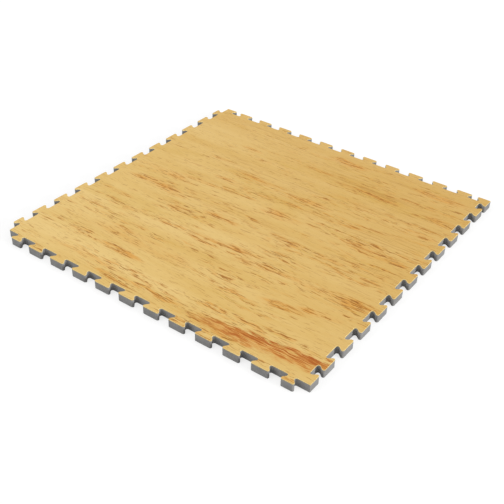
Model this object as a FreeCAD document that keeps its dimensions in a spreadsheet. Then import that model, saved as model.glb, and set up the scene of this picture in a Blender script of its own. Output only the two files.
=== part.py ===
"""Interlocking sports floor tile: a foam slab with a thin wood-grain sheet bonded on top.

The foam is a square slab with dovetail tabs standing out of its front and left sides, and
matching notches cut into its back and right sides. A tile laid beside another pushes its
tabs into the neighbour's notches, and the tiles then repeat every tile_pitch. The sheet
is bonded to the whole top of the foam and trimmed with it, so it takes its outline from
the foam's own top face.

The tile is drawn with the front left corner of the square at the origin. The placement of
each layer then moves it so that the whole tile stands centred over the origin, on the floor.
"""

import FreeCAD, Part
import enum
import math
import os

import Sketcher

SHEET = "Sizes"
PARTS_FOLDER = "parts"

# Driving dimensions in millimetres, apart from the count: alias, value, meaning.
DIMENSIONS = [
    ("tile_pitch", 1000, "distance from one laid tile to the next"),
    ("tabs_per_side", 12, "tabs along each side, the two short end tabs included"),
    ("tab_depth", 22.5, "from the side of the slab to the tips of its tabs"),
    ("flank_lean", 19, "how far a flank leans out between the slab and the tip"),
    ("corner_web", 3.5, "foam left between the two notches beside a corner"),
    ("cut_clearance", 0.5, "how much a notch is larger than its tab, each way"),
    ("corner_radius", 4.5, "rounding of the outer corners of the dovetails"),
    ("tile_corner_radius", 1, "rounding of the four corners of the square"),
    ("foam_thickness", 22, "foam slab"),
    ("grain_sheet_thickness", 2, "wood-grain sheet bonded on the foam"),
]

# Sizes that follow from the driving dimensions, as expressions on the sheet's cells.
PITCH = f"{SHEET}.tile_pitch / {SHEET}.tabs_per_side"
TAB_WIDTH = f"({PITCH} / 2 + {SHEET}.flank_lean)"
FIRST_FULL_TAB = f"(1.5 * {PITCH} - {TAB_WIDTH} / 2)"
FULL_TABS = f"{SHEET}.tabs_per_side - 2"
OUTER_OVERHANG = f"-({SHEET}.tile_pitch - {SHEET}.tab_depth) / 2"

# The tab at each end of a side is short: its outer flank stands back from the corner, so
# that the notches on two sides leave a web of foam between them.
NEAR_END_TAB = f"({SHEET}.tab_depth + {SHEET}.corner_web)"
END_TAB_WIDTH = f"(0.5 * {PITCH} + {TAB_WIDTH} / 2 - {NEAR_END_TAB})"
FAR_END_TAB = f"({SHEET}.tile_pitch - {NEAR_END_TAB} - {END_TAB_WIDTH})"

# Half the sharp angle between a flank and the tip, or a flank and the side of the slab.
HALF_CORNER = f"(atan({SHEET}.tab_depth / {SHEET}.flank_lean) / 2)"

# How far the ends of a rounding or a flat lie from the sharp corner. Each inner corner is
# closed by a short flat that just touches the rounding of the neighbour's outer corner.
ARC_SETBACK = f"({SHEET}.corner_radius / tan({HALF_CORNER}))"
FLAT_SETBACK = f"({SHEET}.corner_radius * (1 / sin({HALF_CORNER}) - 1) / cos({HALF_CORNER}))"

# A dovetail's outline runs this far past the side of the slab, so that a tab is rooted
# in the slab and a notch is cut clear of its side.
RUN_PAST = f"{SHEET}.corner_radius"

SAME_PLACE = 1e-6


class End(enum.IntEnum):
    """The ends of a line or an arc, as a sketch numbers them."""

    START = 1
    END = 2


class Axis(enum.IntEnum):
    """The axes of a sketch, as it numbers them."""

    HORIZONTAL = -1
    VERTICAL = -2


START, END = End.START, End.END
SKETCH_ORIGIN = (Axis.HORIZONTAL, START)


def add_sheet(doc):
    """Write the driving dimensions into the spreadsheet, one row each."""
    sheet = doc.addObject("Spreadsheet::Sheet", SHEET)
    for row, (alias, value, meaning) in enumerate(DIMENSIONS, start=1):
        sheet.set(f"A{row}", str(value))
        sheet.setAlias(f"A{row}", alias)
        sheet.set(f"B{row}", meaning)
    doc.recompute()
    return sheet


def value_of(sheet, expression):
    """Work out an expression on the sheet's cells as a number."""
    return float(sheet.evalExpression(expression))


def new_sketch(body, name):
    """Start a sketch on the body's own horizontal plane, at the foam's underside."""
    planes = [item for item in body.Origin.OriginFeatures if item.Role == "XY_Plane"]
    sketch = body.newObject("Sketcher::SketchObject", name)
    sketch.AttachmentSupport = [(planes[0], "")]
    sketch.MapMode = "FlatFace"
    return sketch


def constrain(sketch, kind, *elements):
    """Add one constraint to the sketch and return its number."""
    return sketch.addConstraint(Sketcher.Constraint(kind, *elements))


def bind(sketch, name, kind, elements, value, expression):
    """Add a dimension, give it a name and bind it to an expression."""
    number = constrain(sketch, kind, *elements, value)
    sketch.renameConstraint(number, name)
    sketch.setExpression(f"Constraints.{name}", expression)


def end_at(sketch, element, place):
    """Return the number of the end of a line or arc that lies at a place."""
    if (sketch.getPoint(element, START) - place).Length < SAME_PLACE:
        return START
    return END


def rounding_arc(sharp, start, end, radius):
    """Return the arc that rounds a sharp corner, tangent to both its lines."""
    inward = ((start + end) / 2 - sharp).normalize()
    centre = sharp + inward * math.hypot((start - sharp).Length, radius)
    return Part.Arc(start, centre - inward * radius, end)


class Side:
    """One side of the square, with tabs that stand out or notches that cut in.

    A side runs along the sketch's horizontal or vertical axis. Its foot is the line of
    the slab's side, and its tips lie outside the slab for tabs and inside it for notches,
    so on all four sides the tips have the lower coordinate.
    """

    def __init__(self, name, along_x, is_notched):
        self.name = name
        self.is_notched = is_notched
        self.along_x = along_x
        self.along = "DistanceX" if along_x else "DistanceY"
        self.across = "DistanceY" if along_x else "DistanceX"
        self.parallel = "Horizontal" if along_x else "Vertical"
        self.upright = "Vertical" if along_x else "Horizontal"
        self.axis = Axis.HORIZONTAL if along_x else Axis.VERTICAL
        self.foot = f"{SHEET}.tile_pitch" if is_notched else "0"
        self.clearance = f"{SHEET}.cut_clearance" if is_notched else "0"

    def point(self, along, across):
        """Return a sketch point from its places along and across this side."""
        if self.along_x:
            return FreeCAD.Vector(along, across, 0)
        return FreeCAD.Vector(across, along, 0)


class Dovetail:
    """The outline of one tab, or of the notch that takes it, drawn in a sketch.

    Its four sharp corners stay in the sketch as points and carry its sizes, in the order
    near root, near tip, far tip, far root. Corners that are outer corners of the foam are
    rounded: a tab's at its tip, a notch's at its mouth. The others get a flat.
    """

    def __init__(self, sketch, sheet, side, name, start, width):
        self.sketch = sketch
        self.sheet = sheet
        self.side = side
        self.name = name
        self.start = f"{start} - {side.clearance}"
        self.width = f"{width} + 2 * {side.clearance}"
        self.depth = f"{SHEET}.tab_depth + {side.clearance}"
        is_tab = not side.is_notched
        self.is_rounded = [side.is_notched, is_tab, is_tab, side.is_notched]

    def size(self, expression):
        """Work out an expression as a number."""
        return value_of(self.sheet, expression)

    def sharp_corners(self):
        """Return the four sharp corners of the dovetail."""
        lean = self.size(f"{SHEET}.flank_lean")
        low = self.size(self.start)
        high = low + self.size(self.width)
        foot = self.size(self.side.foot)
        tip = foot - self.size(self.depth)
        places = [(low + lean, foot), (low, tip), (high, tip), (high - lean, foot)]
        return [self.side.point(*place) for place in places]

    def path(self, sharp):
        """Return the points of the outline, from behind the foot and back to there."""
        outward = self.side.point(1, 0)
        behind = self.side.point(0, self.size(RUN_PAST))
        before = [sharp[0] - outward] + sharp[:-1]
        after = sharp[1:] + [sharp[-1] + outward]
        points = []
        for corner, last, following, is_rounded in zip(sharp, before, after, self.is_rounded):
            setback = self.size(ARC_SETBACK if is_rounded else FLAT_SETBACK)
            points.append(corner + (last - corner).normalize() * setback)
            points.append(corner + (following - corner).normalize() * setback)
        return [points[0] + behind] + points + [points[-1] + behind]

    def draw(self):
        """Draw the closed outline and constrain it fully."""
        sketch = self.sketch
        sharp = self.sharp_corners()
        points = self.path(sharp)
        radius = self.size(f"{SHEET}.corner_radius")
        elements = []
        for number, start in enumerate(points):
            end = points[(number + 1) % len(points)]
            shape = Part.LineSegment(start, end)
            corner = (number - 1) // 2
            is_corner = number % 2 == 1 and corner < len(sharp)
            if is_corner and self.is_rounded[corner]:
                shape = rounding_arc(sharp[corner], start, end, radius)
            elements.append(sketch.addGeometry(shape, False))
        near_wall, near_root, near, near_end, tip, far_end, far, far_root, far_wall, back = elements
        corners = [near_root, near_end, far_end, far_root]
        marks = [(sketch.addGeometry(Part.Point(place), True), START) for place in sharp]
        self.join(elements, corners, points)
        self.place_sharp_corners(marks, near_wall, near, tip, far, far_wall)
        self.size_outline(marks, near_wall)
        self.size_corners(marks, corners, points)
        for wall in (near_wall, far_wall):
            constrain(sketch, self.side.upright, wall)
        for line in (tip, back):
            constrain(sketch, self.side.parallel, line)

    def join(self, elements, corners, points):
        """Join each element to the next: square or tangent at an arc, else end to end."""
        rounded = [item for item, is_arc in zip(corners, self.is_rounded) if is_arc]
        walls = (elements[0], elements[-2])
        for number, element in enumerate(elements):
            following = elements[(number + 1) % len(elements)]
            place = points[(number + 1) % len(points)]
            kind = "Coincident"
            if element in rounded or following in rounded:
                meets_wall = element in walls or following in walls
                kind = "Perpendicular" if meets_wall else "Tangent"
            first = end_at(self.sketch, element, place)
            second = end_at(self.sketch, following, place)
            constrain(self.sketch, kind, element, first, following, second)

    def place_sharp_corners(self, marks, near_wall, near, tip, far, far_wall):
        """Hold each sharp corner on the two lines that meet there."""
        near_root, near_tip, far_tip, far_root = marks
        on_lines = [(near_root, near), (near_tip, near), (near_tip, tip)]
        on_lines += [(far_tip, tip), (far_tip, far), (far_root, far)]
        for mark, line in on_lines:
            constrain(self.sketch, "PointOnObject", *mark, line)
        level = self.side.parallel
        constrain(self.sketch, level, *near_root, near_wall, END)
        constrain(self.sketch, level, *near_root, *far_root)
        constrain(self.sketch, level, *far_root, far_wall, START)

    def size_outline(self, marks, near_wall):
        """Give the dovetail its place, width, depth and lean."""
        near_root, near_tip, far_tip, far_root = marks
        side = self.side
        lean = f"{SHEET}.flank_lean"
        wall = (near_wall, END, near_wall, START)
        self.bind_size("start", side.along, (*SKETCH_ORIGIN, *near_tip), self.start)
        self.bind_size("width", side.along, (*near_tip, *far_tip), self.width)
        self.bind_size("depth", side.across, (*near_tip, *near_root), self.depth)
        self.bind_size("near_lean", side.along, (*near_tip, *near_root), lean)
        self.bind_size("far_lean", side.along, (*far_root, *far_tip), lean)
        self.bind_size("run_past", side.across, wall, RUN_PAST)
        if side.is_notched:
            self.bind_size("foot", side.across, (*SKETCH_ORIGIN, *near_root), side.foot)
        else:
            constrain(self.sketch, "PointOnObject", *near_root, side.axis)

    def size_corners(self, marks, corners, points):
        """Give the roundings their radius and the flats their length."""
        rounded = []
        for number, (mark, corner) in enumerate(zip(marks, corners)):
            if self.is_rounded[number]:
                rounded.append(corner)
                continue
            for end, place in (("in", points[2 * number + 1]), ("out", points[2 * number + 2])):
                name = f"flat_{number}_{end}"
                ends = (*mark, corner, end_at(self.sketch, corner, place))
                self.bind_size(name, "Distance", ends, FLAT_SETBACK)
        self.bind_size("radius", "Radius", (rounded[0],), f"{SHEET}.corner_radius")
        constrain(self.sketch, "Equal", *rounded)

    def bind_size(self, name, kind, elements, expression):
        """Dimension this dovetail's sketch and bind the dimension to an expression."""
        value = self.size(expression)
        bind(self.sketch, f"{self.name}_{name}", kind, elements, value, expression)


SIDES = [
    Side("Front", along_x=True, is_notched=False),
    Side("Left", along_x=False, is_notched=False),
    Side("Back", along_x=True, is_notched=True),
    Side("Right", along_x=False, is_notched=True),
]


def add_slab(body, sheet):
    """Pad the plain square that the tabs and notches are made on."""
    sketch = new_sketch(body, "SlabOutline")
    size = value_of(sheet, f"{SHEET}.tile_pitch")
    corners = [FreeCAD.Vector(x, y, 0) for x, y in ((0, 0), (size, 0), (size, size), (0, size))]
    lines = []
    for start, end in zip(corners, corners[1:] + corners[:1]):
        lines.append(sketch.addGeometry(Part.LineSegment(start, end), False))
    for line, following in zip(lines, lines[1:] + lines[:1]):
        constrain(sketch, "Coincident", line, END, following, START)
    front, right, back, left = lines
    constrain(sketch, "Coincident", front, START, *SKETCH_ORIGIN)
    for line in (front, back):
        constrain(sketch, "Horizontal", line)
    for line in (right, left):
        constrain(sketch, "Vertical", line)
    for name, kind, line in (("width", "DistanceX", front), ("length", "DistanceY", right)):
        bind(sketch, name, kind, (line, START, line, END), size, f"{SHEET}.tile_pitch")
    pad = body.newObject("PartDesign::Pad", "Slab")
    pad.Profile = sketch
    pad.setExpression("Length", f"{SHEET}.foam_thickness")
    return pad


def round_slab_corners(body, slab):
    """Round the four upright edges of the plain slab."""
    upright = []
    for number, edge in enumerate(slab.Shape.Edges, start=1):
        way = edge.Vertexes[-1].Point - edge.Vertexes[0].Point
        if math.hypot(way.x, way.y) < SAME_PLACE:
            upright.append(f"Edge{number}")
    fillet = body.newObject("PartDesign::Fillet", "SlabCorners")
    fillet.Base = (slab, upright)
    fillet.setExpression("Radius", f"{SHEET}.tile_corner_radius")


def extrude(body, sketch, name, side):
    """Add the sketched tabs, or cut the sketched notches, through the whole foam."""
    kind = "PartDesign::Pocket" if side.is_notched else "PartDesign::Pad"
    feature = body.newObject(kind, name)
    feature.Profile = sketch
    feature.setExpression("Length", f"{SHEET}.foam_thickness")
    feature.Reversed = side.is_notched
    return feature


def add_side(body, sheet, side):
    """Make the row of full dovetails of one side, and the short one at each end."""
    full_sketch = new_sketch(body, f"{side.name}FullOutline")
    Dovetail(full_sketch, sheet, side, "full", FIRST_FULL_TAB, TAB_WIDTH).draw()
    full = extrude(body, full_sketch, f"{side.name}Full", side)

    row = body.newObject("PartDesign::LinearPattern", f"{side.name}Row")
    row.Originals = [full]
    row.Direction = (full_sketch, ["H_Axis" if side.along_x else "V_Axis"])
    row.Mode = "Spacing"
    row.setExpression("Offset", PITCH)
    row.setExpression("Occurrences", FULL_TABS)
    body.Tip = row

    end_sketch = new_sketch(body, f"{side.name}EndOutline")
    Dovetail(end_sketch, sheet, side, "near", NEAR_END_TAB, END_TAB_WIDTH).draw()
    Dovetail(end_sketch, sheet, side, "far", FAR_END_TAB, END_TAB_WIDTH).draw()
    extrude(body, end_sketch, f"{side.name}Ends", side)


def centre_on_floor(body):
    """Place a layer so that the whole tile is centred over the origin."""
    body.setExpression(".Placement.Base.x", OUTER_OVERHANG)
    body.setExpression(".Placement.Base.y", OUTER_OVERHANG)


def add_foam_base(doc, sheet):
    """Build the foam: the slab, then the dovetails of its four sides."""
    body = doc.addObject("PartDesign::Body", "FoamBase")
    body.Label = "foam_base"
    slab = add_slab(body, sheet)
    doc.recompute()
    round_slab_corners(body, slab)
    for side in SIDES:
        add_side(body, sheet, side)
    centre_on_floor(body)
    doc.recompute()
    return body


def add_wood_grain_top(doc, sheet, foam):
    """Build the sheet, padded up from the foam's top face."""
    top = value_of(sheet, f"{SHEET}.foam_thickness")
    names = []
    for number, face in enumerate(foam.Shape.Faces, start=1):
        if abs(face.BoundBox.ZMin - top) < SAME_PLACE:
            names.append(f"Face{number}")
    body = doc.addObject("PartDesign::Body", "WoodGrainTop")
    body.Label = "wood_grain_top"
    centre_on_floor(body)
    face_copy = body.newObject("PartDesign::SubShapeBinder", "FoamTopFace")
    face_copy.Support = [(foam, tuple(names))]
    pad = body.newObject("PartDesign::Pad", "GrainSheet")
    pad.Profile = face_copy
    pad.setExpression("Length", f"{SHEET}.grain_sheet_thickness")
    doc.recompute()
    return body


def check_document(doc, layers):
    """Stop if any feature failed or a layer isn't one valid solid."""
    for item in doc.Objects:
        if "Invalid" in item.State or "Error" in item.State:
            raise RuntimeError(f"{item.Name} failed: {item.State}")
    for layer in layers:
        shape = layer.Shape
        if shape.isNull() or not shape.isValid() or len(shape.Solids) != 1:
            raise RuntimeError(f"{layer.Label} is not one valid solid")


def main():
    """Build both layers and write each to its own file."""
    doc = FreeCAD.newDocument("SportsFloorTile")
    sheet = add_sheet(doc)
    foam = add_foam_base(doc, sheet)
    layers = [foam, add_wood_grain_top(doc, sheet, foam)]
    check_document(doc, layers)
    os.makedirs(PARTS_FOLDER, exist_ok=True)
    for layer in layers:
        layer.Shape.exportStep(os.path.join(PARTS_FOLDER, f"{layer.Label}.step"))
        print(layer.Label, f"{layer.Shape.Volume / 1e6:.4f} litres", layer.Shape.BoundBox)


main()
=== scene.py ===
"""Looks of the interlocking sports floor tile: a grey foam slab under a printed wood-grain sheet.

The two pieces are built again from the rule of the dovetail edge, with rounded corners and rims,
and dressed with procedural finishes. All sizes are in metres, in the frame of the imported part.
"""

from __future__ import annotations

import enum
import logging
import math
from dataclasses import asdict, astuple, dataclass, field

import bpy
from mathutils import Matrix, Vector


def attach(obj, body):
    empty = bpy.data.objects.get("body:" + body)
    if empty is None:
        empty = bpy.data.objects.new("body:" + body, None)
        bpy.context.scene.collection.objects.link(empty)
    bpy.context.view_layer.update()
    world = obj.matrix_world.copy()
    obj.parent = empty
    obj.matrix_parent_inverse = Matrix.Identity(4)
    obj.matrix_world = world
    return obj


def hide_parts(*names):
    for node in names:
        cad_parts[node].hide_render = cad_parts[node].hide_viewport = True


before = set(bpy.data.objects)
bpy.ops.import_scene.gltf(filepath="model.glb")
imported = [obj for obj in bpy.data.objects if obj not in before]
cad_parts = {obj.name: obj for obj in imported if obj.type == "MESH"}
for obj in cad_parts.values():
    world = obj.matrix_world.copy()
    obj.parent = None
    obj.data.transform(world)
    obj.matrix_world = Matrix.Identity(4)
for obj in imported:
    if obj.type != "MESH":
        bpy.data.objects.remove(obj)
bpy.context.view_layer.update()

log = logging.getLogger("floor_tile")

BODY = "root"
MM = 0.001
WHITE = (1.0, 1.0, 1.0, 1.0)
# the photo's width in pixels, the unit that the camera's focal length and shift were fitted in
PICTURE_WIDTH = 504

Socket = bpy.types.NodeSocket
Colour = tuple[float, float, float]
Feed = Socket | bpy.types.ID | float | int | bool | tuple | Vector


class Slot(enum.Enum):
    """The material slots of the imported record."""

    FOAM = "foam"
    GRAIN_SHEET = "grain_sheet"


class Corner(enum.Enum):
    """The kinds of corner on the tile's outline, by the input that gives their radius."""

    OUTER = "Outer Radius"
    INNER = "Inner Radius"
    BODY = "Body Radius"


def srgb(red: int, green: int, blue: int) -> Colour:
    """Turn a colour as a screen shows it into the linear one that a shader takes.

    Args:
        red, green, blue: Its channels from 0 to 255.

    Returns:
        The linear colour, each channel from 0 to 1.
    """

    def linear(value: int) -> float:
        """Turn one channel."""
        share = value / 255
        return share / 12.92 if share <= 0.04045 else ((share + 0.055) / 1.055) ** 2.4

    return linear(red), linear(green), linear(blue)


def add_object(name: str, data: bpy.types.ID) -> bpy.types.Object:
    """Put an object with the given data in the scene."""
    made = bpy.data.objects.new(name, data)
    bpy.context.scene.collection.objects.link(made)
    return made


class Bench:
    """Sets out the nodes of one tree and links them."""

    def __init__(self, tree: bpy.types.NodeTree) -> None:
        """Take the tree to work on."""
        self.tree = tree

    @classmethod
    def cleared(cls, owner: bpy.types.Material | bpy.types.World) -> Bench:
        """Turn on the nodes of a material or a world, and clear them away for new ones."""
        owner.use_nodes = True
        owner.node_tree.nodes.clear()
        return cls(owner.node_tree)

    def feed(self, socket: Socket, value: Feed) -> None:
        """Link a socket to another one, or set its value."""
        if isinstance(value, Socket):
            self.tree.links.new(value, socket)
        else:
            socket.default_value = value

    def node(self, kind: str, feeds: dict[str | int, Feed] | None = None, **settings) -> bpy.types.Node:
        """Add a node.

        Args:
            kind: The node's type name in Blender.
            feeds: What goes into its inputs, by name or number.
            **settings: Its other properties.

        Returns:
            The node.
        """
        made = self.tree.nodes.new(kind)
        for name, value in settings.items():
            setattr(made, name, value)
        for name, value in (feeds or {}).items():
            self.feed(made.inputs[name], value)
        return made

    def first(self, kind: str, feeds: dict[str | int, Feed] | None = None, **settings) -> Socket:
        """Add a node as node() does, and return its first output."""
        return self.node(kind, feeds, **settings).outputs[0]

    def math(self, operation: str, *values: Feed) -> Socket:
        """Add a Math node and return its result."""
        made = self.node("ShaderNodeMath", operation=operation)
        for socket, value in zip(made.inputs, values):
            self.feed(socket, value)
        return made.outputs[0]

    def total(self, *values: Feed) -> Socket:
        """Add up several values."""
        result = values[0]
        for value in values[1:]:
            result = self.math("ADD", result, value)
        return result

    def product(self, *values: Feed) -> Socket:
        """Multiply several values."""
        result = values[0]
        for value in values[1:]:
            result = self.math("MULTIPLY", result, value)
        return result

    def rest(self, share: Feed) -> Socket:
        """Give what a share leaves of 1."""
        return self.math("SUBTRACT", 1.0, share)

    def blend(self, share: Feed, first: Feed, second: Feed) -> Socket:
        """Go from a first number to a second one as share goes from 0 to 1."""
        change = self.math("SUBTRACT", second, first)
        return self.math("MULTIPLY_ADD", share, change, first)

    def vector(self, x: Feed = 0.0, y: Feed = 0.0, z: Feed = 0.0) -> Socket:
        """Put three numbers together."""
        return self.first("ShaderNodeCombineXYZ", {0: x, 1: y, 2: z})

    def ramp(self, value: Feed, low: float, high: float, start: float = 0.0, end: float = 1.0) -> Socket:
        """Ease from start to end as a value goes from low to high.

        Args:
            value: The value to follow.
            low: Where the result leaves start.
            high: Where the result reaches end.
            start: The result below low.
            end: The result above high.

        Returns:
            The eased value.
        """
        feeds = {"Value": value, "From Min": low, "From Max": high, "To Min": start, "To Max": end}
        return self.first("ShaderNodeMapRange", feeds, interpolation_type="SMOOTHSTEP")

    def noise(self, place: Socket, scale: float, detail: float, roughness: float) -> Socket:
        """Add a noise at a place and return its level, about 0 to 1."""
        feeds = {"Vector": place, "Scale": scale, "Detail": detail, "Roughness": roughness}
        return self.node("ShaderNodeTexNoise", feeds).outputs["Fac"]

    def bump(self, height: Socket, distance: float, strength: float) -> Socket:
        """Add a relief and return the bent normal."""
        feeds = {"Height": height, "Distance": distance, "Strength": strength}
        return self.first("ShaderNodeBump", feeds)

    def mix(self, share: Feed, first: Socket | Colour, second: Socket | Colour) -> Socket:
        """Go from a first colour to a second one as share goes from 0 to 1."""
        made = self.node("ShaderNodeMix", data_type="RGBA")
        colours = [socket for socket in made.inputs if socket.type == "RGBA"]
        self.feed(made.inputs[0], share)
        for socket, colour in zip(colours, (first, second)):
            self.feed(socket, colour if isinstance(colour, Socket) else (*colour, 1.0))
        return next(socket for socket in made.outputs if socket.type == "RGBA")

    def surface(
        self, colour: Socket, roughness: Feed, specular: float, height: Socket, relief: float
    ) -> None:
        """Finish a material's tree: its shader, with a relief of the given height, and its output."""
        feeds = {
            "Base Color": colour,
            "Roughness": roughness,
            "Specular IOR Level": specular,
            "Normal": self.bump(height, 1.0, relief),
        }
        self.node("ShaderNodeOutputMaterial", {"Surface": self.first("ShaderNodeBsdfPrincipled", feeds)})


@dataclass(frozen=True)
class Section:
    """The upright section of a piece's edge, drawn from its underside to its top.

    Attributes:
        low: Height of the underside.
        high: Height of the top.
        low_round: Radius of the lower edge.
        high_round: Radius of the upper edge.
        low_steps: Facets of the lower rounding.
        high_steps: Facets of the upper rounding.
    """

    low: float
    high: float
    low_round: float
    high_round: float
    low_steps: int = 4
    high_steps: int = 4

    def points(self) -> list[tuple[float, float]]:
        """Give the section as points of (distance outwards, height), from the bottom to the top."""
        found = []
        foot, head = self.low + self.low_round, self.high - self.high_round
        for step in range(self.low_steps + 1):
            turn = math.pi / 2 * step / self.low_steps
            found.append((self.low_round * (math.sin(turn) - 1), foot - self.low_round * math.cos(turn)))
        for step in range(self.high_steps + 1):
            turn = math.pi / 2 * step / self.high_steps
            found.append((self.high_round * (math.cos(turn) - 1), head + self.high_round * math.sin(turn)))
        return found

    def as_curve(self, name: str) -> bpy.types.Object:
        """Draw the section as a curve object, distance outwards along X and height down along Y."""
        curve = bpy.data.curves.new(name, "CURVE")
        curve.dimensions = "3D"
        points = self.points()
        line = curve.splines.new("POLY")
        line.points.add(len(points) - 1)
        for point, (out, height) in zip(line.points, points):
            point.co = (out, -height, 0.0, 1.0)
        return add_object(name, curve)


@dataclass(frozen=True)
class Interlock:
    """The rule of the dovetail edge that fits each tile to the next one.

    Attributes:
        pitch: From one laid tile to the next.
        tabs: Tabs on a side.
        tab_depth: How far a tab stands out.
        flank_lean: How far a flank leans out between the slab and the tip.
        corner_web: Foam left between the two notches beside a corner.
        clearance: How much a notch is larger than its tab, each way.
        outer_radius: Radius of the corners of tips and mouths.
        inner_radius: Radius of the corners of necks and roots.
        body_radius: Radius of the slab's own corners.
        corner_steps: Facets of each rounded corner.
    """

    pitch: float = 1.0
    tabs: int = 12
    tab_depth: float = 22.5 * MM
    flank_lean: float = 19.0 * MM
    corner_web: float = 3.5 * MM
    clearance: float = 0.5 * MM
    outer_radius: float = 4.5 * MM
    inner_radius: float = 4.8 * MM
    body_radius: float = 1.0 * MM
    corner_steps: int = 6

    @property
    def centre(self) -> Vector:
        """The middle of the slab without its tabs, in the part's frame."""
        return Vector((self.tab_depth / 2, self.tab_depth / 2, 0.0))

    def sizes(self) -> dict[str, Feed]:
        """Give the sizes by the names of the tree's inputs, tab_depth as "Tab Depth"."""
        named = {name.replace("_", " ").title(): size for name, size in asdict(self).items()}
        return named | {"Centre": self.centre}


class TileTree:
    """The Geometry Nodes tree that draws the outline and raises a closed slab on it.

    Each tab has four corners, numbered 0 to 3 as places: foot, tip, tip and foot again. The sides
    are numbered 0 to 3 too: front and right, then back and left.
    """

    NAME = "interlocking_slab"
    INPUTS = {
        "Pitch": "Float",
        "Tabs": "Int",
        "Tab Depth": "Float",
        "Flank Lean": "Float",
        "Corner Web": "Float",
        "Clearance": "Float",
        Corner.OUTER.value: "Float",
        Corner.INNER.value: "Float",
        Corner.BODY.value: "Float",
        "Corner Steps": "Int",
        "Centre": "Vector",
        "Edge Section": "Object",
        "Bottom": "Float",
        "Bottom Inset": "Float",
        "Top": "Float",
        "Top Inset": "Float",
        "Finish": "Material",
    }
    WELD = 0.01 * MM
    SIDES = 4.0
    TAB_CORNERS = 4.0
    BODY_STOP = -1.0
    PAIR_MIDDLE = 1.5
    PAIR_REACH = 0.7
    SAME_REACH = 0.3

    def __init__(self, interlock: Interlock) -> None:
        """Build the tree for the rule of the edge."""
        self.interlock = interlock
        self.tree = bpy.data.node_groups.new(self.NAME, "GeometryNodeTree")
        self.tree.is_modifier = True
        for name, kind in self.INPUTS.items():
            self.tree.interface.new_socket(name, in_out="INPUT", socket_type=f"NodeSocket{kind}")
        self.tree.interface.new_socket("Geometry", in_out="OUTPUT", socket_type="NodeSocketGeometry")
        self.bench = Bench(self.tree)
        self.sizes = self.bench.node("NodeGroupInput").outputs
        self.build()

    def same(self, first: Feed, second: Feed) -> Socket:
        """Give 1 where two whole numbers are the same, and 0 elsewhere."""
        return self.bench.math("COMPARE", first, second, self.SAME_REACH)

    def in_pair(self, number: Socket) -> Socket:
        """Give 1 for the numbers 1 and 2, and 0 for 0 and 3."""
        return self.bench.math("COMPARE", number, self.PAIR_MIDDLE, self.PAIR_REACH)

    def whole_times(self, number: Socket, unit: Feed) -> Socket:
        """Give how often a unit goes into a whole number, with half a step of room for rounding."""
        return self.bench.math("FLOOR", self.bench.math("DIVIDE", self.bench.math("ADD", number, 0.5), unit))

    def build(self) -> None:
        """Lay out the whole tree, from the outline to the output."""
        bench, outline = self.bench, self.rounded(*self.corners())
        wall = self.wall(outline)
        top = self.cap(outline, "Top", "Top Inset", looks_up=True)
        bottom = self.cap(outline, "Bottom", "Bottom Inset", looks_up=False)
        parts = bench.node("GeometryNodeJoinGeometry")
        for part in (bottom, top, wall):
            bench.feed(parts.inputs[0], part)
        weld = {"Geometry": parts.outputs[0], "Distance": self.WELD}
        real = bench.first(
            "GeometryNodeRealizeInstances", {"Geometry": bench.first("GeometryNodeMergeByDistance", weld)}
        )
        finish = {"Geometry": real, "Material": self.sizes["Finish"]}
        bench.node("NodeGroupOutput", {"Geometry": bench.first("GeometryNodeSetMaterial", finish)})

    def corners(self) -> tuple[Socket, Socket]:
        """Place the sharp corners of the outline by their number.

        Returns:
            The closed loop of corners, and each corner's radius.
        """
        bench, math_of = self.bench, self.bench.math
        tabs, pitch, depth = (self.sizes[name] for name in ("Tabs", "Pitch", "Tab Depth"))
        # a side has a stop for each corner of its tabs, after one for the slab's own corner
        stops = math_of("MULTIPLY_ADD", tabs, self.TAB_CORNERS, 1.0)
        loop = bench.first("GeometryNodeMeshCircle", {"Vertices": bench.product(stops, self.SIDES)})
        number = bench.first("GeometryNodeInputIndex")
        side = self.whole_times(number, stops)
        stop = math_of("SUBTRACT", math_of("SUBTRACT", number, bench.product(side, stops)), 1.0)
        tab = self.whole_times(stop, self.TAB_CORNERS)
        place = math_of("SUBTRACT", stop, bench.product(tab, self.TAB_CORNERS))
        is_body = self.same(stop, self.BODY_STOP)
        is_tip = self.in_pair(place)
        is_far = math_of("GREATER_THAN", place, self.PAIR_MIDDLE)
        is_notch = self.in_pair(side)
        room = bench.product(self.sizes["Clearance"], is_notch)

        # how far along the side the corner is, from the slab's own corner
        step, lean = math_of("DIVIDE", pitch, tabs), self.sizes["Flank Lean"]
        leaning = bench.product(lean, math_of("SUBTRACT", is_tip, 0.5))
        half = bench.total(math_of("DIVIDE", step, 4.0), leaning, room)
        sign = math_of("MULTIPLY_ADD", is_far, 2.0, -1.0)
        full = math_of("MULTIPLY_ADD", sign, half, bench.product(math_of("ADD", tab, 0.5), step))
        outmost = bench.total(depth, self.sizes["Corner Web"], bench.product(lean, bench.rest(is_tip)))
        near_end = math_of("SUBTRACT", outmost, room)
        is_first = bench.product(self.same(tab, 0.0), bench.rest(is_far))
        is_last = bench.product(self.same(tab, math_of("SUBTRACT", tabs, 1.0)), is_far)
        along = bench.blend(is_first, full, near_end)
        along = bench.blend(is_last, along, math_of("SUBTRACT", pitch, near_end))
        along = bench.product(along, bench.rest(is_body))

        # how far outside the side it is, or inside for the root of a notch
        inwards = math_of("MULTIPLY_ADD", depth, -2.0, bench.product(room, -1.0))
        reach = math_of("MULTIPLY_ADD", is_notch, inwards, depth)
        out = bench.product(reach, is_tip, bench.rest(is_body))

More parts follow.
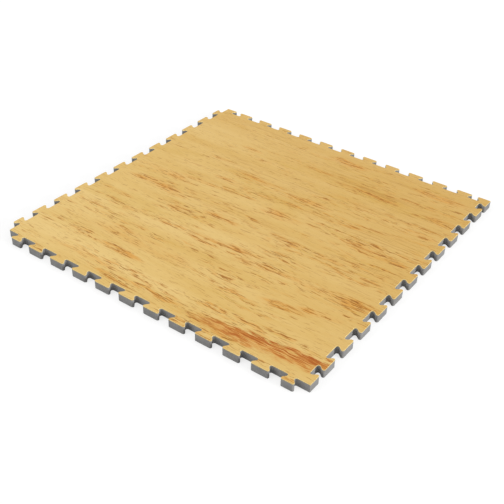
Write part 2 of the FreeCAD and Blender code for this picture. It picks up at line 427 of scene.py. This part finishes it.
        middle = bench.product(pitch, 0.5)
        outwards = bench.product(math_of("ADD", middle, out), -1.0)
        flat = bench.vector(math_of("SUBTRACT", along, middle), outwards)
        turn = {"Vector": flat, "Angle": bench.product(side, math.pi / 2)}
        turned = bench.first("ShaderNodeVectorRotate", turn, rotation_type="Z_AXIS")
        move = {0: turned, 1: self.sizes["Centre"]}
        moved = bench.first("ShaderNodeVectorMath", move, operation="ADD")
        placed = bench.first("GeometryNodeSetPosition", {"Geometry": loop, "Position": moved})
        # a tab's tip and a notch's mouth are outer corners, a tab's foot and a notch's root inner ones
        is_outer = self.same(is_tip, bench.rest(is_notch))
        radius = bench.blend(is_outer, self.sizes[Corner.INNER.value], self.sizes[Corner.OUTER.value])
        radius = bench.blend(is_body, radius, self.sizes[Corner.BODY.value])
        kept = bench.node("GeometryNodeCaptureAttribute", {"Geometry": placed}, domain="POINT")
        kept.capture_items.new("FLOAT", "Corner Radius")
        bench.feed(kept.inputs["Corner Radius"], radius)
        return kept.outputs["Geometry"], kept.outputs["Corner Radius"]

    def rounded(self, loop: Socket, radius: Socket) -> Socket:
        """Turn the loop of corners into a closed curve with every corner rounded."""
        line = self.bench.first("GeometryNodeMeshToCurve", {"Mesh": loop})
        feeds = {
            "Curve": self.bench.first("GeometryNodeSetCurveNormal", {"Curve": line}, mode="Z_UP"),
            "Radius": radius,
            "Limit Radius": True,
            "Count": self.sizes["Corner Steps"],
        }
        return self.bench.first("GeometryNodeFilletCurve", feeds, mode="POLY")

    def wall(self, outline: Socket) -> Socket:
        """Sweep the edge section round the outline."""
        section = self.bench.node(
            "GeometryNodeObjectInfo", {"Object": self.sizes["Edge Section"]}, transform_space="ORIGINAL"
        )
        sweep = {"Curve": outline, "Profile Curve": section.outputs["Geometry"], "Fill Caps": False}
        swept = self.bench.first("GeometryNodeCurveToMesh", sweep)
        outward = self.bench.first("GeometryNodeFlipFaces", {"Mesh": swept})
        return self.bench.first("GeometryNodeSetShadeSmooth", {"Geometry": outward, "Shade Smooth": True})

    def cap(self, outline: Socket, height: str, inset: str, looks_up: bool) -> Socket:
        """Fill the outline as a flat face that meets the wall.

        Args:
            outline: The rounded outline.
            height: The input with the face's height.
            inset: The input with its distance inside the outline.
            looks_up: Whether the face looks up, as the top does.

        Returns:
            The face.
        """
        bench = self.bench
        normal = bench.first("GeometryNodeInputNormal")
        inwards = {0: normal, "Scale": bench.product(self.sizes[inset], -1.0)}
        back = bench.first("ShaderNodeVectorMath", inwards, operation="SCALE")
        drawn_in = bench.first("GeometryNodeSetPosition", {"Geometry": outline, "Offset": back})
        filled = bench.first("GeometryNodeFillCurve", {"Curve": drawn_in}, mode="NGONS")
        lift = {"Geometry": filled, "Offset": bench.vector(z=self.sizes[height])}
        raised = bench.first("GeometryNodeSetPosition", lift)
        flat = bench.first("GeometryNodeSetShadeSmooth", {"Geometry": raised, "Shade Smooth": False})
        return flat if looks_up else bench.first("GeometryNodeFlipFaces", {"Mesh": flat})

    def grow(self, name: str, edge: Section, finish: bpy.types.Material) -> bpy.types.Object:
        """Raise a closed slab on the tile's outline and keep it as a plain mesh.

        Args:
            name: The piece's name.
            edge: The section of its edge.
            finish: Its material.

        Returns:
            The piece, with no modifier left on it.
        """
        section = edge.as_curve(f"{name}_section")
        values = self.interlock.sizes() | {
            "Edge Section": section,
            "Bottom": edge.low,
            "Bottom Inset": edge.low_round,
            "Top": edge.high,
            "Top Inset": edge.high_round,
            "Finish": finish,
        }
        piece = add_object(name, bpy.data.meshes.new(name))
        nodes = piece.modifiers.new("slab", "NODES")
        nodes.node_group = self.tree
        for item in self.tree.interface.items_tree:
            if item.in_out == "INPUT":
                nodes[item.identifier] = values[item.name]
        bpy.context.view_layer.update()
        grown = piece.evaluated_get(bpy.context.evaluated_depsgraph_get())
        mesh = bpy.data.meshes.new_from_object(grown)
        piece.modifiers.remove(nodes)
        piece.data = mesh
        mesh.name = name
        mesh.materials.clear()
        mesh.materials.append(finish)
        mesh.polygons.foreach_set("material_index", [0] * len(mesh.polygons))
        drawn = section.data
        bpy.data.objects.remove(section)
        bpy.data.curves.remove(drawn)
        return piece


@dataclass(frozen=True)
class GrainBand:
    """A stretch of the print where the dark dashes crowd together.

    Attributes:
        x: Middle of the stretch along the grain.
        y: Middle of the stretch across the grain.
        half_length: Half its length.
        half_width: Half its width.
        rise: How much it rises across the grain for each metre along it.
        strength: How strongly it shows, from 0 to 1.
    """

    x: float
    y: float
    half_length: float
    half_width: float
    rise: float = 0.0
    strength: float = 1.0


@dataclass(frozen=True)
class FoamFinish:
    """Grey closed-cell foam with cut sides.

    Attributes:
        body: Colour of the foam.
        pale: Colour of the walls between the cells.
        deep: Colour inside the open cells.
        roughness: Its roughness.
        specular: Level of its gloss.
        cell: Size of a cell.
        pore_waves, cloud_waves: Waves a metre of the fine pores and of the paler clouds.
        cell_depth: Depth of the open cells.
        pore_height: Height of the walls between the pores.
        relief: How strongly the relief shows, from 0 to 1.
    """

    body: Colour = srgb(148, 147, 146)
    pale: Colour = srgb(165, 164, 163)
    deep: Colour = srgb(106, 105, 104)
    roughness: float = 0.92
    specular: float = 0.08
    cell: float = 1.1 * MM
    pore_waves: float = 420.0
    cloud_waves: float = 38.0
    cell_depth: float = 0.35 * MM
    pore_height: float = 0.12 * MM
    relief: float = 0.8

    def material(self) -> bpy.types.Material:
        """Build the material."""
        made = bpy.data.materials.new("closed_cell_foam")
        bench = Bench.cleared(made)
        place = bench.node("ShaderNodeTexCoord").outputs["Object"]
        cells = bench.node("ShaderNodeTexVoronoi", {"Vector": place, "Scale": 1 / self.cell})
        pores = bench.noise(place, self.pore_waves, detail=3.0, roughness=0.6)
        clouds = bench.noise(place, self.cloud_waves, detail=3.0, roughness=0.55)
        open_cell = bench.ramp(cells.outputs["Distance"], 0.05, 0.62, 1.0, 0.0)
        dark = bench.product(open_cell, bench.ramp(pores, 0.50, 0.66), 0.8)
        light = bench.product(bench.ramp(clouds, 0.35, 0.7), 0.55)
        tone = bench.mix(light, bench.mix(dark, self.body, self.deep), self.pale)
        pits, walls = bench.product(dark, -self.cell_depth), bench.product(pores, self.pore_height)
        height = bench.total(pits, walls)
        bench.surface(tone, self.roughness, self.specular, height, self.relief)
        return made


@dataclass(frozen=True)
class GrainNoise:
    """A noise that is stretched along the grain.

    Attributes:
        along: Waves a metre along the grain.
        across: Waves a metre across the grain.
        detail: Finer layers on top of the first one.
        seed: Where in the noise the pattern is taken from.
    """

    along: float
    across: float
    detail: float
    seed: float


class Layer(enum.Enum):
    """The noises of the print, the slow bends of its lines first and its finest marks last."""

    DRIFT = GrainNoise(1.8, 4.5, detail=2.0, seed=1.7)
    RIPPLE = GrainNoise(9.0, 24.0, detail=2.0, seed=4.1)
    TREMBLE = GrainNoise(42.0, 60.0, detail=2.0, seed=8.2)
    GROWTH = GrainNoise(1.3, 13.0, detail=3.0, seed=2.3)
    BLOOM = GrainNoise(2.6, 8.0, detail=3.0, seed=9.3)
    CROWD = GrainNoise(5.0, 34.0, detail=3.0, seed=6.4)
    BAND_TEAR = GrainNoise(13.0, 75.0, detail=2.0, seed=16.3)
    LEVEL = GrainNoise(1.7, 110.0, detail=2.0, seed=14.6)
    LEVEL_PATCH = GrainNoise(2.2, 12.0, detail=2.0, seed=15.9)
    BREAK = GrainNoise(21.0, 115.0, detail=2.5, seed=3.1)
    RAGGED = GrainNoise(28.0, 90.0, detail=5.0, seed=1.2)
    THREAD = GrainNoise(7.0, 300.0, detail=3.0, seed=7.7)
    STRAND = GrainNoise(20.0, 330.0, detail=3.5, seed=8.8)
    FLECK = GrainNoise(34.0, 390.0, detail=1.5, seed=11.7)
    FIBRE = GrainNoise(40.0, 1100.0, detail=2.0, seed=5.9)


@dataclass(frozen=True)
class GrainWedge:
    """The bold wedge of the print, which widens and bends along the grain.

    Attributes:
        x: Where it starts along the grain.
        y: Where its middle line starts across the grain.
        rise: How much the middle line rises for each metre, at its start.
        bend: How much more it rises farther on.
        slim: Half the width at its start.
        broad: Half the width where it is full.
    """

    x: float = 0.135
    y: float = -0.463
    rise: float = 0.055
    bend: float = 0.09
    slim: float = 5.0 * MM
    broad: float = 23.5 * MM


# how far each slow noise moves the lines of the print across the grain, in metres
WANDER = {Layer.DRIFT: 0.030, Layer.RIPPLE: 0.010, Layer.TREMBLE: 0.005}

# given where the photo's dashes crowd: x, y, half the length and half the width in metres
CROWDED_BANDS = (
    GrainBand(0.20, 0.316, 0.11, 0.010),
    GrainBand(0.38, 0.428, 0.09, 0.018, strength=0.8),
    GrainBand(0.06, 0.440, 0.07, 0.020, strength=0.9),
    GrainBand(0.44, 0.310, 0.05, 0.014, strength=0.7),
    GrainBand(0.01, 0.340, 0.05, 0.010, strength=0.8),
    GrainBand(-0.24, 0.320, 0.04, 0.008, strength=0.6),
    GrainBand(-0.27, 0.205, 0.05, 0.008, strength=0.7),
    GrainBand(0.19, 0.240, 0.07, 0.012, strength=0.7),
    GrainBand(0.42, 0.210, 0.06, 0.012, strength=0.7),
    GrainBand(-0.10, 0.172, 0.09, 0.010, strength=0.8),
    GrainBand(0.08, 0.155, 0.08, 0.012, strength=0.8),
    GrainBand(0.36, 0.155, 0.11, 0.007, 0.16, strength=0.9),
    GrainBand(0.12, 0.112, 0.11, 0.008, strength=0.8),
    GrainBand(-0.16, 0.110, 0.07, 0.010, strength=0.7),
    GrainBand(-0.24, 0.055, 0.08, 0.009, strength=0.7),
    GrainBand(-0.36, 0.034, 0.09, 0.014, strength=0.8),
    GrainBand(0.06, 0.042, 0.07, 0.020, strength=0.9),
    GrainBand(0.36, 0.042, 0.09, 0.016, strength=0.8),
    GrainBand(-0.35, -0.035, 0.10, 0.016),
    GrainBand(-0.265, -0.052, 0.06, 0.010, strength=0.5),
    GrainBand(-0.40, -0.148, 0.06, 0.010, strength=0.7),
    GrainBand(-0.065, -0.075, 0.06, 0.014),
    GrainBand(-0.03, -0.188, 0.06, 0.018),
    GrainBand(0.065, -0.172, 0.08, 0.010),
    GrainBand(0.145, -0.200, 0.06, 0.012),
    GrainBand(0.30, -0.190, 0.12, 0.010, strength=0.8),
    GrainBand(0.44, -0.180, 0.08, 0.022),
    GrainBand(0.395, -0.268, 0.06, 0.012, 0.15),
    GrainBand(0.31, -0.298, 0.07, 0.014, 0.12),
    GrainBand(-0.25, -0.286, 0.05, 0.010, strength=0.9),
    GrainBand(-0.17, -0.305, 0.20, 0.026, strength=0.4),
    GrainBand(-0.18, -0.370, 0.08, 0.012),
    GrainBand(-0.24, -0.440, 0.12, 0.012, strength=0.8),
)


@dataclass(frozen=True)
class GrainFinish:
    """A printed and embossed wood-grain sheet.

    Attributes:
        light: Colour of the palest wood.
        ground: Colour of most of the wood.
        shade: Colour of the darker growth bands.
        mature: Painted shade, darker and warmer, that the top takes on towards the back right corner where
            the light falls off; partly a drift in the print's tone.
        glow: Orange tint of the wood round the dashes.
        flame: Orange of the bold wedge.
        ember: Red-brown of the threads in the bold wedge.
        streak: Colour of the dashes.
        heart: Colour of the darkest dashes.
        rim: Colour of the painted highlight, a pale band along the rounded edge round the face.
        core: Colour of the sheet's own cut edge.
        roughness: Roughness of the face.
        specular: Level of its gloss.
        line_spacing: From one growth line to the next.
        line_sway: By how many lines the growth noise moves them.
        sparse_limit: Noise level over which a dash shows where none crowd.
        crowd_drop: How much lower that level is where they crowd most.
        bands: Where the dashes crowd together.
        wedge: The bold wedge near the front right corner.
        haze_share: How strongly the glow shows round the dashes.
        hair_share: How strongly the long hair-thin lines show.
        dash_share, heart_share: How strongly the dashes and their darkest parts show.
        fibre_share: How strongly the finest fibres show.
        wash_share, ember_share: How strongly the wedge's orange and its dark threads show.
        fibre_depth, dash_depth, thread_depth: Depths in the relief.
        relief: How strongly the relief shows, from 0 to 1.
        rim_below, core_below: How far below the face the painted highlight and the core colour are full, and
            where each ends.
    """

    light: Colour = srgb(232, 199, 128)
    ground: Colour = srgb(222, 184, 106)
    shade: Colour = srgb(205, 162, 60)
    mature: Colour = srgb(207, 162, 82)
    glow: Colour = srgb(216, 142, 36)
    flame: Colour = srgb(210, 138, 56)
    ember: Colour = srgb(170, 86, 16)
    streak: Colour = srgb(162, 97, 4)
    heart: Colour = srgb(134, 72, 0)
    rim: Colour = srgb(238, 220, 158)
    core: Colour = srgb(176, 140, 88)
    roughness: float = 0.5
    specular: float = 0.22
    line_spacing: float = 12.5 * MM
    line_sway: float = 5.0
    sparse_limit: float = 0.625
    crowd_drop: float = 0.13
    bands: tuple[GrainBand, ...] = CROWDED_BANDS
    wedge: GrainWedge = GrainWedge()
    haze_share: float = 0.60
    hair_share: float = 0.36
    dash_share: float = 0.80
    heart_share: float = 0.65
    fibre_share: float = 0.15
    wash_share: float = 0.9
    ember_share: float = 0.97
    fibre_depth: float = 0.05 * MM
    dash_depth: float = 0.10 * MM
    thread_depth: float = 0.06 * MM
    relief: float = 0.55
    rim_below: tuple[float, float] = (0.20 * MM, 0.01 * MM)
    core_below: tuple[float, float] = (1.25 * MM, 0.95 * MM)

    def material(self, top: float) -> bpy.types.Material:
        """Build the material.

        Args:
            top: Height of the printed face, below which the cut edge begins.

        Returns:
            The material.
        """
        made = bpy.data.materials.new("wood_grain_sheet")
        GrainPrint(Bench.cleared(made), self).lay(top)
        return made


class GrainPrint:
    """The shader tree of the printed sheet, at the place x along the grain and y across it."""

    def __init__(self, bench: Bench, finish: GrainFinish) -> None:
        """Find the place, and bend it so that every line of the print wanders a little.

        Args:
            bench: The tree's bench.
            finish: The finish to print.
        """
        self.bench, self.finish = bench, finish
        place = bench.node("ShaderNodeTexCoord").outputs["Object"]
        self.x, self.y, self.z = bench.node("ShaderNodeSeparateXYZ", {0: place}).outputs
        moves = [
            bench.math("MULTIPLY_ADD", self.noise(layer), reach, -reach / 2)
            for layer, reach in WANDER.items()
        ]
        self.y = bench.total(self.y, *moves)

    def lay(self, top: float) -> None:
        """Lay out the whole tree, for a sheet whose printed face is at the given height."""
        bench, finish, x, y = self.bench, self.finish, self.x, self.y
        growth, bloom, fibre, thread, crowd = (
            self.noise(layer)
            for layer in (Layer.GROWTH, Layer.BLOOM, Layer.FIBRE, Layer.THREAD, Layer.CROWD)
        )
        bands = self.band_share()
        # the loose dashes thin out towards the back and towards the left end
        lively = bench.ramp(bench.math("MULTIPLY_ADD", x, -0.45, y), 0.0, 0.4, 1.0, 0.5)
        lively = bench.product(lively, bench.ramp(x, -0.5, -0.1, 0.75, 1.0))
        crowding = bench.product(bench.ramp(crowd, 0.42, 0.72, 0.0, 0.75), lively)
        crowding = bench.math("MAXIMUM", crowding, bands)
        dashes, near_dashes = self.dashes(growth, crowding)
        # painted shade: the top turns darker and warmer towards the back right corner, standing in for the
        # light falling off there; partly a drift in the print's tone
        painted_falloff_share = bench.ramp(bench.math("MULTIPLY_ADD", y, 1.4, x), -0.9, 1.1, 0.0, 0.56)
        in_bands = bench.product(bands, bench.ramp(thread, 0.34, 0.60, 0.2, 1.0))
        haze = bench.math("MAXIMUM", in_bands, near_dashes)
        lined = bench.product(bench.ramp(thread, 0.50, 0.75), bench.ramp(crowd, 0.36, 0.62, 0.12, 0.6))
        deep = bench.product(bench.ramp(thread, 0.42, 0.60), dashes)
        prints = (
            (painted_falloff_share, finish.mature),
            (bench.ramp(bloom, 0.50, 0.80, 0.0, 0.45), finish.shade),
            (lined, finish.shade),
            (bench.product(haze, finish.haze_share), finish.glow),
            (bench.ramp(fibre, 0.52, 0.75, 0.0, finish.fibre_share), finish.streak),
            (bench.product(self.long_lines(), finish.hair_share), finish.streak),
            (bench.product(dashes, finish.dash_share), finish.streak),
            (bench.product(deep, finish.heart_share), finish.heart),
        )
        tone = bench.mix(bench.ramp(growth, 0.30, 0.70), finish.light, finish.ground)
        for share, ink in prints:
            tone = bench.mix(share, tone, ink)
        tone, dashes = self.with_wedge(tone, dashes)
        # painted highlight: the rounded edge round the face is lightened to a pale band; below it the
        # sheet's cut edge takes the core colour
        for (full, end), colour in ((finish.rim_below, finish.rim), (finish.core_below, finish.core)):
            tone = bench.mix(bench.ramp(self.z, top - full, top - end), colour, tone)

        height = bench.total(
            bench.product(bench.ramp(fibre, 0.42, 0.70), -finish.fibre_depth),
            bench.product(dashes, -finish.dash_depth),
            bench.product(bench.ramp(thread, 0.45, 0.75), -finish.thread_depth),
        )
        rough = bench.ramp(fibre, 0.35, 0.7, finish.roughness - 0.05, finish.roughness + 0.1)
        bench.surface(tone, rough, finish.specular, height, finish.relief)

    def dashes(self, growth: Socket, crowding: Socket) -> tuple[Socket, Socket]:
        """Give the thin dark dashes.

        Most are pieces of growth lines, which run side by side; the rest are loose flecks.

        Args:
            growth: The slow noise that the growth lines follow.
            crowding: Where the dashes crowd together, from 0 to 1.

        Returns:
            The share of the dash colour, and how near the dashes are.
        """
        bench, finish = self.bench, self.finish
        sway = bench.product(growth, finish.line_sway)
        rings = bench.total(bench.product(self.y, 1 / finish.line_spacing), sway)
        line = bench.ramp(bench.math("PINGPONG", rings, 0.5), 0.31, 0.47)
        limit = bench.math("MULTIPLY_ADD", crowding, -finish.crowd_drop, finish.sparse_limit)
        over = bench.math("SUBTRACT", self.noise(Layer.BREAK), limit)
        near = bench.product(bench.ramp(over, -0.10, 0.02), crowding)
        piece = bench.ramp(over, -0.01, 0.05)
        fleck = bench.ramp(bench.math("SUBTRACT", self.noise(Layer.FLECK), limit), 0.0, 0.06)
        found = bench.math("MAXIMUM", bench.product(line, piece), bench.product(fleck, 0.75))
        return bench.product(found, bench.ramp(crowding, 0.0, 0.6, 0.42, 1.0)), near

    def long_lines(self) -> Socket:
        """Give the long hair-thin lines, most of them towards the back right corner."""
        bench = self.bench
        off_level = bench.math("ABSOLUTE", bench.math("SUBTRACT", self.noise(Layer.LEVEL), 0.5))
        hair = bench.ramp(off_level, 0.006, 0.035, 1.0, 0.0)
        patch = bench.ramp(self.noise(Layer.LEVEL_PATCH), 0.46, 0.66)
        return bench.product(hair, patch, bench.ramp(bench.total(self.x, self.y), -0.6, 0.6, 0.15, 1.0))

    def with_wedge(self, tone: Socket, dashes: Socket) -> tuple[Socket, Socket]:
        """Print the bold orange-brown wedge near the front right corner over the rest.

        Args:
            tone: The colour so far.
            dashes: The share of the dashes so far.

        Returns:
            The new colour, and the share of dark lines that the relief follows.
        """
        bench, finish, wedge = self.bench, self.finish, self.finish.wedge
        run = bench.math("SUBTRACT", self.x, wedge.x)
        middle = bench.total(wedge.y, bench.product(run, wedge.rise), bench.product(run, run, wedge.bend))
        half = bench.ramp(run, -0.02, 0.12, wedge.slim, wedge.broad)
        across = bench.math("DIVIDE", bench.math("SUBTRACT", self.y, middle), half)
        ragged = bench.math("MULTIPLY_ADD", self.noise(Layer.RAGGED), 3.2, -1.6)
        upper = bench.ramp(bench.total(across, ragged), 0.75, 1.15, 1.0, 0.0)
        lower = bench.ramp(bench.total(bench.product(across, -1.0), ragged), 0.2, 1.3, 1.0, 0.0)
        body = bench.product(upper, lower, bench.ramp(run, -0.03, 0.05))
        strand = self.noise(Layer.STRAND, bench.math("MULTIPLY_ADD", ragged, 0.0026, self.y))
        threads = bench.ramp(strand, 0.475, 0.59)
        crest = bench.product(bench.ramp(across, 0.1, 0.9), bench.ramp(strand, 0.40, 0.56))
        crest = bench.product(crest, bench.ramp(run, 0.03, 0.2))
        dark = bench.product(threads, bench.ramp(across, -1.0, 0.4, 0.4, 0.9))
        dark = bench.math("MAXIMUM", dark, crest)
        grown = bench.ramp(run, 0.0, 0.14, 0.35, 1.0)
        wash = bench.product(body, bench.ramp(strand, 0.36, 0.54, 0.25, 1.0), grown, finish.wash_share)
        tone = bench.mix(wash, tone, finish.flame)
        tone = bench.mix(bench.product(body, dark, grown, finish.ember_share), tone, finish.ember)
        return tone, bench.math("MAXIMUM", dashes, bench.product(body, dark))

    def noise(self, layer: Layer, y: Socket | None = None) -> Socket:
        """Add one of the print's noises.

        Args:
            layer: Which noise.
            y: Another place across the grain to take it at.

        Returns:
            The noise, about 0 to 1.
        """
        bench, given = self.bench, layer.value
        along = bench.product(self.x, given.along)
        across = bench.product(self.y if y is None else y, given.across)
        place = bench.vector(along, across, given.seed)
        return bench.noise(place, 1.0, given.detail, roughness=0.55)

    @staticmethod
    def band_group() -> bpy.types.NodeTree:
        """Build the group that gives a soft long patch for one band, from its fields in their order."""
        group = bpy.data.node_groups.new("grain_band", "ShaderNodeTree")
        for name in ("X", "Y", "Middle X", "Middle Y", "Half Length", "Half Width", "Rise", "Strength"):
            group.interface.new_socket(name, in_out="INPUT", socket_type="NodeSocketFloat")
        group.interface.new_socket("Share", in_out="OUTPUT", socket_type="NodeSocketFloat")
        bench = Bench(group)
        given = bench.node("NodeGroupInput").outputs
        run = bench.math("SUBTRACT", given["X"], given["Middle X"])
        along = bench.math("DIVIDE", run, given["Half Length"])
        rise = bench.math("MULTIPLY_ADD", run, given["Rise"], given["Middle Y"])
        across = bench.math("DIVIDE", bench.math("SUBTRACT", given["Y"], rise), given["Half Width"])
        far = bench.total(bench.product(along, along), bench.product(across, across))
        bench.node("NodeGroupOutput", {"Share": bench.ramp(far, 0.15, 1.7, given["Strength"], 0.0)})
        return group

    def band_share(self) -> Socket:
        """Give how crowded the dashes are because of the bands."""
        bench, group = self.bench, self.band_group()
        result: Feed = 0.0
        for band in self.finish.bands:
            patch = bench.node("ShaderNodeGroup", node_tree=group)
            for socket, value in zip(patch.inputs, (self.x, self.y, *astuple(band))):
                bench.feed(socket, value)
            result = bench.math("MAXIMUM", result, patch.outputs[0])
        torn = bench.ramp(self.noise(Layer.BAND_TEAR), 0.36, 0.60, 0.25, 1.0)
        return bench.product(result, torn)


@dataclass
class FoamBase:
    """The foam slab with its tabs and notches.

    Attributes:
        edge: The section of its edge.
        finish: Its finish.
    """

    edge: Section = Section(
        low=0.0, high=22.0 * MM, low_round=0.9 * MM, high_round=0.45 * MM, high_steps=3
    )
    finish: FoamFinish = field(default_factory=FoamFinish)

    def build(self, tree: TileTree) -> bpy.types.Object:
        """Build and dress the slab.

        Args:
            tree: The tree that makes the mesh.

        Returns:
            The slab.
        """
        piece = tree.grow("foam_slab", self.edge, self.finish.material())
        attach(piece, BODY)
        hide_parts("foam_base")
        return piece


@dataclass
class GrainSheet:
    """The printed sheet on the slab.

    Attributes:
        edge: The section of its edge.
        finish: Its finish.
    """

    edge: Section = Section(
        low=22.0 * MM, high=24.0 * MM, low_round=0.2 * MM, high_round=0.9 * MM, low_steps=2
    )
    finish: GrainFinish = field(default_factory=GrainFinish)

    def build(self, tree: TileTree) -> bpy.types.Object:
        """Build and dress the sheet.

        Args:
            tree: The tree that makes the mesh.

        Returns:
            The sheet.
        """
        piece = tree.grow("grain_sheet", self.edge, self.finish.material(self.edge.high))
        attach(piece, BODY)
        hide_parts("wood_grain_top")
        return piece


def direction(azimuth: float, height: float) -> Vector:
    """Point away from the tile.

    Args:
        azimuth: Angle round the tile from its front, in radians.
        height: Angle above the floor, in radians.

    Returns:
        The direction, one metre long.
    """
    level = math.cos(height)
    return Vector((math.sin(azimuth) * level, -math.cos(azimuth) * level, math.sin(height)))


@dataclass(frozen=True)
class Lamp:
    """A broad lamp far away.

    Attributes:
        name: Its name.
        azimuth: Where it stands round the tile, in degrees.
        height: How high it stands, in degrees.
        strength: Its strength.
        angle: How broad it looks from the tile, in degrees.
        tint: Its colour.
    """

    name: str
    azimuth: float
    height: float
    strength: float
    angle: float
    tint: Colour = (1.0, 0.99, 0.97)

    def hang(self) -> None:
        """Add the lamp to the scene."""
        light = bpy.data.lights.new(self.name, "SUN")
        light.energy = self.strength
        light.angle = math.radians(self.angle)
        light.color = self.tint
        made = add_object(self.name, light)
        made.rotation_mode = "QUATERNION"
        back = direction(math.radians(self.azimuth), math.radians(self.height))
        made.rotation_quaternion = back.to_track_quat("Z", "Y")


@dataclass
class Studio:
    """The pale floor, the soft light and the camera.

    Attributes:
        azimuth: Where the camera stands round the tile, in radians.
        elevation: How high it stands, in radians.
        roll: How far it is turned about its own axis, in radians.
        distance: From the camera to what it looks at.
        target: What it looks at.
        focal_share: Focal length over the width of the picture.
        sensor: Width of the camera's sensor, in millimetres.
        reach: The nearest and the farthest that the camera sees.
        floor_size: Length of the square floor.
        picture_rise: How far the picture is raised, as a share of its width.
        paper_bounce: Share of the light that the floor throws back at the tile.
        paper_seen: Share of the light that the floor shows to the camera.
        paper_glow: Light that the floor shows to the camera besides, which keeps it white.
        tooth_waves, tooth_depth: Waves a metre of the paper's tooth, and its depth.
        tooth_relief: How strongly the tooth shows, from 0 to 1.
        sky: Strength of the sky.
        key: The lamp on the tile's right.
        fill: The weaker and broader lamp towards the tile's left front.
    """

    azimuth: float = 0.61317
    elevation: float = 0.61258
    roll: float = 0.03456
    distance: float = 2.29372
    target: tuple[float, float, float] = (0.10322, -0.15309, 0.024)
    focal_share: float = 842.356 / PICTURE_WIDTH
    sensor: float = 36.0
    reach: tuple[float, float] = (0.05, 100.0)
    floor_size: float = 30.0
    picture_rise: float = 0.43 / PICTURE_WIDTH
    paper_bounce: float = 0.08
    paper_seen: float = 0.38
    paper_glow: float = 0.67
    tooth_waves: float = 900.0
    tooth_depth: float = 0.02 * MM
    tooth_relief: float = 0.2
    sky: float = 0.76
    key: Lamp = Lamp("key_lamp", azimuth=97, height=13, strength=2.14, angle=16)
    fill: Lamp = Lamp("fill_lamp", azimuth=-35, height=18, strength=0.95, angle=40)

    def add_camera(self) -> None:
        """Place the camera as the photographer stood."""
        data = bpy.data.cameras.new("camera")
        data.sensor_width = self.sensor
        data.lens = self.focal_share * self.sensor
        data.clip_start, data.clip_end = self.reach
        data.shift_y = -self.picture_rise
        camera = add_object("camera", data)
        back = direction(self.azimuth, self.elevation)
        right = (-back).cross(Vector((0.0, 0.0, 1.0))).normalized()
        up = right.cross(-back)
        turned_right = right * math.cos(self.roll) + up * math.sin(self.roll)
        turned_up = up * math.cos(self.roll) - right * math.sin(self.roll)
        turn = Matrix((turned_right, turned_up, back)).transposed()
        camera.matrix_world = Matrix.Translation(Vector(self.target) + back * self.distance) @ turn.to_4x4()
        bpy.context.scene.camera = camera

    def add_floor(self) -> None:
        """Lay the pale floor under the tile."""
        mesh = bpy.data.meshes.new("studio_floor")
        half = self.floor_size / 2
        corners = [(-half, -half, 0), (half, -half, 0), (half, half, 0), (-half, half, 0)]
        mesh.from_pydata(corners, [], [(0, 1, 2, 3)])
        floor = add_object("studio_floor", mesh)
        made = bpy.data.materials.new("studio_paper")
        bench = Bench.cleared(made)
        place = bench.node("ShaderNodeTexCoord").outputs["Object"]
        tooth = bench.noise(place, self.tooth_waves, detail=2.0, roughness=0.5)
        normal = bench.bump(tooth, self.tooth_depth, self.tooth_relief)
        lit = self.plain_paper(bench, self.paper_bounce, normal)
        paper = self.plain_paper(bench, self.paper_seen, normal)
        glow = bench.first("ShaderNodeEmission", {"Color": WHITE, "Strength": self.paper_glow})
        seen = bench.first("ShaderNodeAddShader", {0: paper, 1: glow})
        mixed = bench.first("ShaderNodeMixShader", {0: self.seen_directly(bench), 1: lit, 2: seen})
        bench.node("ShaderNodeOutputMaterial", {"Surface": mixed})
        mesh.materials.append(made)

    @staticmethod
    def plain_paper(bench: Bench, level: float, normal: Socket) -> Socket:
        """Add a matt paper that throws back the given share of the light."""
        return bench.first("ShaderNodeBsdfDiffuse", {"Color": (level, level, level, 1.0), "Normal": normal})

    @staticmethod
    def seen_directly(bench: Bench) -> Socket:
        """Give 1 for rays from the camera, from gloss and through glass, and 0 for the rest."""
        path = bench.node("ShaderNodeLightPath").outputs
        kinds = (path["Is Camera Ray"], path["Is Glossy Ray"], path["Is Transmission Ray"])
        return bench.math("MINIMUM", bench.total(*kinds), 1.0)

    def add_light(self) -> None:
        """Light the tile from the sky all round and from two broad lamps."""
        world = bpy.data.worlds.new("studio_sky")
        bench = Bench.cleared(world)
        strength = bench.math("MULTIPLY_ADD", self.seen_directly(bench), 1.0 - self.sky, self.sky)
        sky = bench.first("ShaderNodeBackground", {"Color": WHITE, "Strength": strength})
        bench.node("ShaderNodeOutputWorld", {"Surface": sky})
        bpy.context.scene.world = world
        for lamp in (self.key, self.fill):
            lamp.hang()

    def build(self) -> None:
        """Set up the floor, the light and the camera."""
        self.add_floor()
        self.add_light()
        self.add_camera()
        bpy.context.scene.view_settings.view_transform = "Standard"


def main() -> None:
    """Build the tile and the studio."""
    logging.basicConfig(level=logging.INFO, format="%(name)s: %(message)s")
    tree = TileTree(Interlock())
    for maker in (FoamBase(), GrainSheet()):
        piece = maker.build(tree)
        log.info("%s: %d corners, %d faces", piece.name, len(piece.data.vertices), len(piece.data.polygons))
    Studio().build()
    log.info("studio: floor, sky, lamps and camera")


if __name__ == "__main__":
    main()
